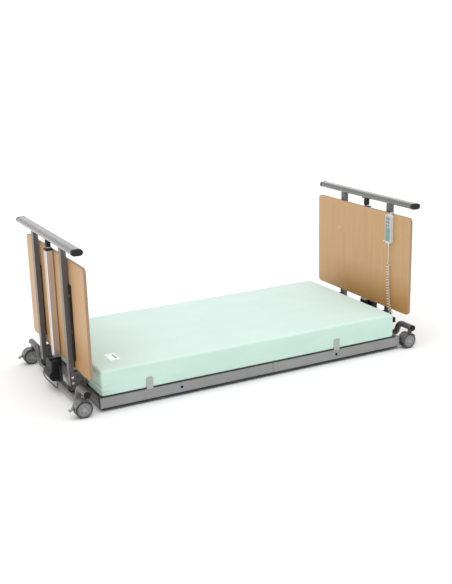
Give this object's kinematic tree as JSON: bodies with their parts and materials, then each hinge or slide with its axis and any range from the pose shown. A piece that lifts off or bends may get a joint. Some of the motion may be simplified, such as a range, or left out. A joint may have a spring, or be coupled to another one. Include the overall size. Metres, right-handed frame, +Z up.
{
  "type": "adjustable hospital bed",
  "caption": "Floor-level profiling care bed: telescopic lifting ends on castors, hinged backrest, thigh and calf sections, segmented foam mattress and hand control.",
  "frame": {"origin": "on the floor, under the middle of the bed", "axes": "+X towards the head end, -Y is the patient left side, +Z up"},
  "size_m": [2.399, 1.064, 0.953],
  "materials": {
    "frame_steel": "satin",
    "rail_steel": "satin",
    "handrail_metal": "satin",
    "castor_grey": "satin",
    "wheel_plastic": "satin",
    "pedal_plastic": "satin",
    "black_plastic": "satin",
    "black_rubber": "matte",
    "column_aluminium": "satin",
    "bright_steel": "polished",
    "board_wood": "satin",
    "deck_steel": "satin",
    "retainer_plastic": "satin",
    "mattress_fabric": "matte",
    "handset_plastic": "satin",
    "panel_film": "satin",
    "key_film": "satin",
    "cord_plastic": "satin"
  },
  "bodies": {
    "foot_base": {"foot_base_frame": "frame_steel", "foot_base_rubbers": "black_rubber", "foot_lift_column": "column_aluminium", "foot_lift_drive": "black_plastic", "foot_lift_cable": "black_rubber"},
    "bed_frame": {"posts": "frame_steel", "handrails": "handrail_metal", "handrail_caps": "black_plastic", "foot_board": "board_wood", "head_board": "board_wood", "board_strips": "black_plastic", "fasteners": "bright_steel", "post_brackets": "frame_steel", "lift_rods": "bright_steel", "rod_clevises": "black_plastic", "side_rails": "rail_steel", "cross_members": "frame_steel", "rail_trim": "black_plastic", "seat_deck": "deck_steel", "control_box": "black_plastic", "backrest_actuator": "black_plastic", "thigh_actuator": "black_plastic", "mattress_seat": "mattress_fabric", "handset_shell": "handset_plastic", "handset_panel": "panel_film", "handset_lead": "cord_plastic", "handset_curl": "cord_plastic"},
    "head_base": {"head_base_frame": "frame_steel", "head_base_rubbers": "black_rubber", "head_lift_column": "column_aluminium", "head_lift_drive": "black_plastic", "head_lift_cable": "black_rubber"},
    "foot_spindle": {"foot_lift_spindle": "bright_steel"},
    "head_spindle": {"head_lift_spindle": "bright_steel"},
    "backrest": {"backrest_deck": "deck_steel", "backrest_retainers": "retainer_plastic", "mattress_back": "mattress_fabric"},
    "backrest_push_rod": {"backrest_rod": "bright_steel"},
    "thigh": {"thigh_deck": "deck_steel", "mattress_thigh": "mattress_fabric"},
    "thigh_push_rod": {"thigh_rod": "bright_steel"},
    "calf": {"calf_deck": "deck_steel", "calf_retainers": "retainer_plastic", "mattress_calf": "mattress_fabric"},
    "foot_left_castor_body": {"foot_left_castor": "castor_grey"},
    "foot_left_wheel_pair": {"foot_left_wheels": "wheel_plastic"},
    "foot_left_brake": {"foot_left_pedal": "pedal_plastic"},
    "foot_right_castor_body": {"foot_right_castor": "castor_grey"},
    "foot_right_wheel_pair": {"foot_right_wheels": "wheel_plastic"},
    "foot_right_brake": {"foot_right_pedal": "pedal_plastic"},
    "head_left_castor_body": {"head_left_castor": "castor_grey"},
    "head_left_wheel_pair": {"head_left_wheels": "wheel_plastic"},
    "head_right_castor_body": {"head_right_castor": "castor_grey"},
    "head_right_wheel_pair": {"head_right_wheels": "wheel_plastic"},
    "key_back_up_cap": {"key_back_up": "key_film"},
    "key_back_down_cap": {"key_back_down": "key_film"},
    "key_legs_up_cap": {"key_legs_up": "key_film"},
    "key_legs_down_cap": {"key_legs_down": "key_film"},
    "key_bed_up_cap": {"key_bed_up": "key_film"},
    "key_bed_down_cap": {"key_bed_down": "key_film"}
  },
  "joints": [
    {"name": "bed_lift", "type": "slide", "parent": "foot_base", "child": "bed_frame", "axis": [0, 0, 1], "range_m": [0, 0.55]},
    {"name": "head_lift", "type": "slide", "parent": "bed_frame", "child": "head_base", "axis": [0, 0, 1], "range_m": [-0.55, 0]},
    {"name": "foot_spindle_turn", "type": "hinge", "parent": "foot_base", "child": "foot_spindle", "pos_m": [-1.0975, 0, 0.2], "axis": [0, 0, 1], "range_deg": [0, 16501]},
    {"name": "head_spindle_turn", "type": "hinge", "parent": "head_base", "child": "head_spindle", "pos_m": [1.1275, 0, 0.2], "axis": [0, 0, 1], "range_deg": [0, 16501]},
    {"name": "foot_left_swivel", "type": "hinge", "parent": "foot_base", "child": "foot_left_castor_body", "pos_m": [-1.0975, -0.5, 0.12], "axis": [0, 0, 1], "range_deg": [-120, 120]},
    {"name": "foot_left_roll", "type": "hinge", "parent": "foot_left_castor_body", "child": "foot_left_wheel_pair", "pos_m": [-1.1175, -0.5, 0.05], "axis": [0, 1, 0], "continuous": true},
    {"name": "foot_left_brake_press", "type": "hinge", "parent": "foot_left_castor_body", "child": "foot_left_brake", "pos_m": [-1.1765, -0.5, 0.059], "axis": [0, -1, 0], "range_deg": [0, 14]},
    {"name": "foot_right_swivel", "type": "hinge", "parent": "foot_base", "child": "foot_right_castor_body", "pos_m": [-1.0975, 0.5, 0.12], "axis": [0, 0, 1], "range_deg": [-120, 120]},
    {"name": "foot_right_roll", "type": "hinge", "parent": "foot_right_castor_body", "child": "foot_right_wheel_pair", "pos_m": [-1.1175, 0.5, 0.05], "axis": [0, 1, 0], "continuous": true},
    {"name": "foot_right_brake_press", "type": "hinge", "parent": "foot_right_castor_body", "child": "foot_right_brake", "pos_m": [-1.1765, 0.5, 0.059], "axis": [0, -1, 0], "range_deg": [0, 14]},
    {"name": "head_left_swivel", "type": "hinge", "parent": "head_base", "child": "head_left_castor_body", "pos_m": [1.1275, -0.5, 0.12], "axis": [0, 0, 1], "continuous": true},
    {"name": "head_left_roll", "type": "hinge", "parent": "head_left_castor_body", "child": "head_left_wheel_pair", "pos_m": [1.1075, -0.5, 0.05], "axis": [0, 1, 0], "continuous": true},
    {"name": "head_right_swivel", "type": "hinge", "parent": "head_base", "child": "head_right_castor_body", "pos_m": [1.1275, 0.5, 0.12], "axis": [0, 0, 1], "continuous": true},
    {"name": "head_right_roll", "type": "hinge", "parent": "head_right_castor_body", "child": "head_right_wheel_pair", "pos_m": [1.1075, 0.5, 0.05], "axis": [0, 1, 0], "continuous": true},
    {"name": "backrest_tilt", "type": "hinge", "parent": "bed_frame", "child": "backrest", "pos_m": [0.205, 0, 0.08], "axis": [0, -1, 0], "range_deg": [0, 65]},
    {"name": "backrest_push", "type": "slide", "parent": "bed_frame", "child": "backrest_push_rod", "axis": [1, 0, 0], "range_m": [0, 0.04318]},
    {"name": "thigh_tilt", "type": "hinge", "parent": "bed_frame", "child": "thigh", "pos_m": [-0.015, 0, 0.08], "axis": [0, 1, 0], "range_deg": [0, 30]},
    {"name": "thigh_push", "type": "slide", "parent": "bed_frame", "child": "thigh_push_rod", "axis": [-1, 0, 0], "range_m": [0, 0.02091]},
    {"name": "knee_bend", "type": "hinge", "parent": "thigh", "child": "calf", "pos_m": [-0.365, 0, 0.08], "axis": [0, 1, 0], "range_deg": [-46, 0]},
    {"name": "press_back_up", "type": "slide", "parent": "bed_frame", "child": "key_back_up_cap", "axis": [1, 0, 0], "range_m": [0, 0.001], "stiffness_N_per_m": 400, "springref_m": -0.001},
    {"name": "press_back_down", "type": "slide", "parent": "bed_frame", "child": "key_back_down_cap", "axis": [1, 0, 0], "range_m": [0, 0.001], "stiffness_N_per_m": 400, "springref_m": -0.001},
    {"name": "press_legs_up", "type": "slide", "parent": "bed_frame", "child": "key_legs_up_cap", "axis": [1, 0, 0], "range_m": [0, 0.001], "stiffness_N_per_m": 400, "springref_m": -0.001},
    {"name": "press_legs_down", "type": "slide", "parent": "bed_frame", "child": "key_legs_down_cap", "axis": [1, 0, 0], "range_m": [0, 0.001], "stiffness_N_per_m": 400, "springref_m": -0.001},
    {"name": "press_bed_up", "type": "slide", "parent": "bed_frame", "child": "key_bed_up_cap", "axis": [1, 0, 0], "range_m": [0, 0.001], "stiffness_N_per_m": 400, "springref_m": -0.001},
    {"name": "press_bed_down", "type": "slide", "parent": "bed_frame", "child": "key_bed_down_cap", "axis": [1, 0, 0], "range_m": [0, 0.001], "stiffness_N_per_m": 400, "springref_m": -0.001}
  ],
  "couplings": [
    {"joint": "head_lift", "follows": "bed_lift", "ratio": -1},
    {"joint": "foot_spindle_turn", "follows": "bed_lift", "rad_per_m": 523.6},
    {"joint": "head_spindle_turn", "follows": "bed_lift", "rad_per_m": 523.6},
    {"joint": "backrest_push", "follows": "backrest_tilt", "m_per_rad": 0.037889},
    {"joint": "thigh_push", "follows": "thigh_tilt", "m_per_rad": 0.039545},
    {"joint": "knee_bend", "follows": "thigh_tilt", "ratio": -1.52}
  ]
}
